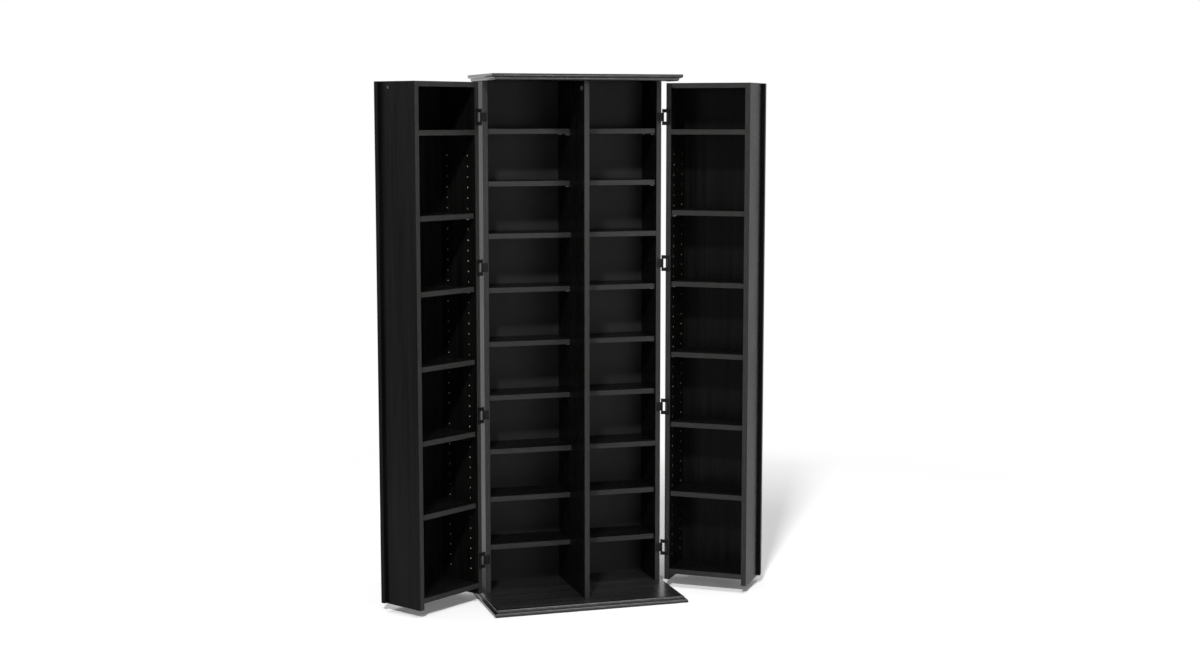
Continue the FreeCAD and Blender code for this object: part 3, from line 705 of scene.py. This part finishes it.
def spare_heights(pegs):
    """Heights on the 32 mm grid, below, between and above the pegs, without those in use."""
    used = sorted({round((low.z + high.z) / 2, 5) for low, high in pegs})
    count = round((used[-1] - used[0]) / hole_pitch) + 2 * extra_holes + 1
    grid = [used[0] + (k - extra_holes) * hole_pitch for k in range(count)]
    return [z for z in grid if min(abs(z - u) for u in used) > hole_pitch / 2]


def drill_side(side, name, inner_face, direction):
    """Direction points from the inner face into the board, along the closed door's x."""
    node = f"{side}_door_{name}"
    lines = sorted({round((low.y + high.y) / 2, 5) for low, high in door_pegs[side]})
    turn = along_x if direction > 0 else along_x.inverted()
    spots = [(inner_face, y, z) for y in lines for z in spare_heights(door_pegs[side])]
    form = bmesh.new()
    for spot in spots:
        add_turned(form, drill_outline, door_place[side] @ Matrix.Translation(spot) @ turn, around=12)
    drill = to_mesh("drill", form, [chip_core])
    mesh = carved(node + "_drilled", node_copy(node, [door_upright[side]]), drill, board_edge)
    board = place_piece(node + "_drilled", mesh, f"{side}_door", "black_laminate", node)
    keep_flat(board)
    print(node, "holes", len(spots), "faces", len(mesh.polygons))


for side in toward_free:
    for name, (inner_face, inward) in zip(("hinge_side", "free_side"), door_walls[side]):
        drill_side(side, name, inner_face, -inward)

# %% [markdown]
# ## Hinges
# The leaves are stamped steel with countersunk holes. The solids are plain, so a copy of each row of
# leaves is countersunk here. The screws have flat heads that sit just under the surface, because the door
# closes to within half a millimetre of the leaf. Each head has a cross recess, cut once and then copied.

# %% Make one screw and its countersink
head_radius = 0.0028
head_play = 0.0001
shank_radius = 0.0013
sink_depth = head_radius - shank_radius
sink_rise = 0.0006
sink_bottom = 0.0022
countersink = [(0.0, sink_rise), (head_radius + sink_rise, sink_rise), (shank_radius, -sink_depth)]
countersink += [(shank_radius, -sink_bottom), (0.0, -sink_bottom)]
recess_half = 0.00038
recess_reach = 0.0017
recess_rise = 0.0005
recess_depth = 0.0011
recess_taper = 0.6


def make_screw(finish):
    """A flat-headed screw whose head lies at the origin and whose shank points down."""
    body = bmesh.new()
    rim = head_radius - head_play
    shank = [(0.0, -0.006), (0.0006, -0.0058), (0.0011, -0.0045), (0.0011, -0.0017)]
    head = [(rim, -0.00022), (rim, -0.00012), (rim - 0.0004, 0.0), (0.0, 0.00002)]
    add_turned(body, shank + head, Matrix.Identity(4), around=24)
    corner = [(recess_half, recess_reach), (recess_half, recess_half), (recess_reach, recess_half)]
    cross = []
    for turns in range(4):
        for x, y in corner:
            for _ in range(turns):
                x, y = y, -x
            cross.append((x, y))
    recess = bmesh.new()
    top = [recess.verts.new((x, y, recess_rise)) for x, y in cross]
    bottom = [recess.verts.new((x * recess_taper, y * recess_taper, -recess_depth)) for x, y in cross]
    recess.faces.new(top)
    recess.faces.new(bottom)
    for k in range(len(cross)):
        after = (k + 1) % len(cross)
        recess.faces.new([top[k], top[after], bottom[after], bottom[k]])
    return carved("screw", to_mesh("screw_body", body, [finish]), to_mesh("recess", recess, [finish]))


coated_screw = make_screw(powder_coat)
zinc_screw = make_screw(bright_zinc)
print("screw faces", len(coated_screw.polygons))


# %% Countersink and screw down
def add_copy(form, mesh, place):
    """Adds a mesh to a form, moved to a place."""
    before = len(form.verts)
    form.from_mesh(mesh)
    form.verts.ensure_lookup_table()
    bmesh.ops.transform(form, matrix=place, verts=form.verts[before:])


def screw_down(node, body, places, screw, finish, slot, edge):
    """Countersinks a node's solid at the given places, and sets a screw in each."""
    sinks = bmesh.new()
    screws = bmesh.new()
    for place in places:
        add_turned(sinks, countersink, place, around=24)
        add_copy(screws, screw, place)
    plate = carved(node + "_sunk", node_copy(node, [finish]), to_mesh("sinks", sinks, [finish]), edge)
    place_piece(node + "_sunk", plate, body, slot, node)
    place_piece(node + "_screws", to_mesh(node + "_screws", screws, [finish]), body, slot)
    print(node, "screws", len(places))


def screw_leaves(node, body, places):
    """Screws down one row of hinge leaves."""
    screw_down(node, body, places, coated_screw, powder_coat, "hinge_steel", leaf_edge)


along_y = Matrix.Rotation(math.radians(-90.0), 4, "X")
along_minus_y = Matrix.Rotation(math.radians(90.0), 4, "X")
cabinet_leaf_screws = (0.0115, 0.0075)
door_leaf_screws = (0.0172, 0.0195)
leaf_half = 0.0006
leaf_edge = 0.00025
for side, way in toward_free.items():
    leaves = separate_boxes(f"{side}_hinge_cabinet_leaves")
    heights = sorted((low.z + high.z) / 2 for low, high in leaves)
    hinge_x, hinge_y, _ = door_place[side].translation
    across, up = cabinet_leaf_screws
    levels = [z + sign * up for z in heights for sign in (-1, 1)]
    spots = [(hinge_x + way * across, hinge_y - leaf_half, z) for z in levels]
    places = [Matrix.Translation(spot) @ along_minus_y for spot in spots]
    screw_leaves(f"{side}_hinge_cabinet_leaves", "cabinet", places)
    across, up = door_leaf_screws
    levels = [z + sign * up for z in heights for sign in (-1, 1)]
    spots = [(way * across, leaf_half, z) for z in levels]
    places = [door_place[side] @ Matrix.Translation(spot) @ along_y for spot in spots]
    screw_leaves(f"{side}_hinge_door_leaves", f"{side}_door", places)

# %% [markdown]
# ## Magnetic catches
# A small steel plate is screwed to each face of the divider, near the upper front corner, and a barrel
# magnet in the door meets it. The barrel is black plastic round a dark ferrite core, so it hardly shows.
# Two outlines turned on one axis, each with its own finish, make the barrel.

# %% Screw down the plates
plate_edge = 0.0003
places = []
for low, high in separate_boxes("catch_plates"):
    middle = (low + high) / 2
    outward = 1.0 if middle.x > 0.0 else -1.0
    face = high.x if outward > 0.0 else low.x
    turn = along_x if outward > 0.0 else along_x.inverted()
    places.append(Matrix.Translation((face, middle.y, middle.z)) @ turn)
screw_down("catch_plates", "cabinet", places, zinc_screw, bright_zinc, "catch_steel", plate_edge)

# %% Turn the barrels
rim_width = 0.0011
rim_chamfer = 0.0003
rim_depth = 0.0005
core_length = 0.003
core_play = 0.0003
core_crown = 0.0001
for side, way in toward_free.items():
    node = f"{side}_door_magnet"
    low, high = separate_boxes(node, door_place[side].inverted())[0]
    middle = (low + high) / 2
    radius = (high.z - low.z) / 2
    length = high.x - low.x
    rim = radius - rim_width
    shell = [(0.0, 0.0), (radius, 0.0), (radius, length - rim_chamfer), (radius - rim_chamfer, length)]
    shell += [(rim, length), (rim, length - rim_depth), (0.0, length - rim_depth)]
    core_radius = rim - core_play
    core_top = length - core_play
    core = [(0.0, length - core_length), (core_radius, length - core_length)]
    core += [(core_radius, core_top), (0.0, core_top + core_crown)]
    spot = door_place[side] @ Matrix.Translation((low.x if way > 0 else high.x, middle.y, middle.z))
    spot = spot @ (along_x if way > 0 else along_x.inverted())
    form = bmesh.new()
    add_turned(form, shell, spot, around=28)
    add_turned(form, core, spot, around=28, finish=1)
    mesh = to_mesh(node + "_barrel", form, [barrel_plastic, ferrite])
    place_piece(node + "_barrel", mesh, f"{side}_door", "magnet", node)
    print(node, "radius", round(radius, 4), "length", round(length, 4))

# %% [markdown]
# ## Knobs
# Each door front has one turned metal knob, at hand height near its free edge. The solid is a plain neck
# and head. A turned outline with a small foot, a waist and a domed head stands for it, inside the same
# box. The outline is in millimetres, as a turner would draw it.

# %% Turn the knobs
knob_outline = [
    (0.0, 0.0), (8.0, 0.0), (8.0, 0.9), (7.4, 1.5), (5.6, 2.2), (4.7, 3.4), (4.4, 5.2), (4.7, 7.0),
    (5.8, 8.6), (8.0, 9.8), (11.2, 10.7), (12.6, 11.6), (13.0, 12.8), (12.9, 14.2), (12.2, 16.0),
    (10.6, 17.9), (8.2, 19.6), (5.2, 21.0), (2.4, 21.8), (0.0, 22.0),
]
millimetre = 0.001
for side in toward_free:
    node = f"{side}_door_knob"
    low, high = separate_boxes(node, door_place[side].inverted())[0]
    middle = (low + high) / 2
    spot = door_place[side] @ Matrix.Translation((middle.x, high.y, middle.z)) @ along_minus_y
    form = bmesh.new()
    outline = [(radius * millimetre, height * millimetre) for radius, height in knob_outline]
    add_turned(form, outline, spot, around=40)
    mesh = to_mesh(node + "_turned", form, [black_nickel])
    place_piece(node + "_turned", mesh, f"{side}_door", "knob_metal", node)
    print(node, "at", tuple(round(v, 3) for v in spot.translation))

# %% [markdown]
# ## Back panel and its nails
# The hardboard back lies in rabbets of the sides, and is nailed to the sides, the divider and the fixed
# shelves. The nails have thin, slightly domed heads of blued steel. All of them are one outline, turned
# at each place into the same mesh.

# %% Dress the back
back_edge = 0.0003
back_steps = 1
back = nodes["back_panel"]
back.data.materials.clear()
back.data.materials.append(hardboard)
ease_edges(back, back_edge, back_steps)
low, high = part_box("back_panel")
print("back panel", [round(v, 4) for v in high - low])

# %% Drive the nails
nail_shank = [(0.0, -0.010), (0.0006, -0.009), (0.0007, -0.0002)]
nail_head = [(0.0028, 0.0), (0.0029, 0.00025), (0.0022, 0.00050), (0.0010, 0.00062), (0.0, 0.00065)]
nail_rows = 11
end_margin = 0.028
edge_margin = 0.004
shelf_nails = (-0.180, -0.090, 0.090, 0.180)
span = high.z - low.z - 2 * end_margin
rows = [low.z + end_margin + k * span / (nail_rows - 1) for k in range(nail_rows)]
spots = [(x, z) for x in (low.x + edge_margin, 0.0, high.x - edge_margin) for z in rows]
for name in ("lower", "upper"):
    shelf_low, shelf_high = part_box(f"left_{name}_fixed_shelf")
    spots += [(x, (shelf_low.z + shelf_high.z) / 2) for x in shelf_nails]
form = bmesh.new()
for x, z in spots:
    add_turned(form, nail_shank + nail_head, Matrix.Translation((x, high.y, z)) @ along_y, around=14)
place_piece("back_nails", to_mesh("back_nails", form, [blued_steel]), "cabinet", "hinge_steel")
print("nails", len(spots))
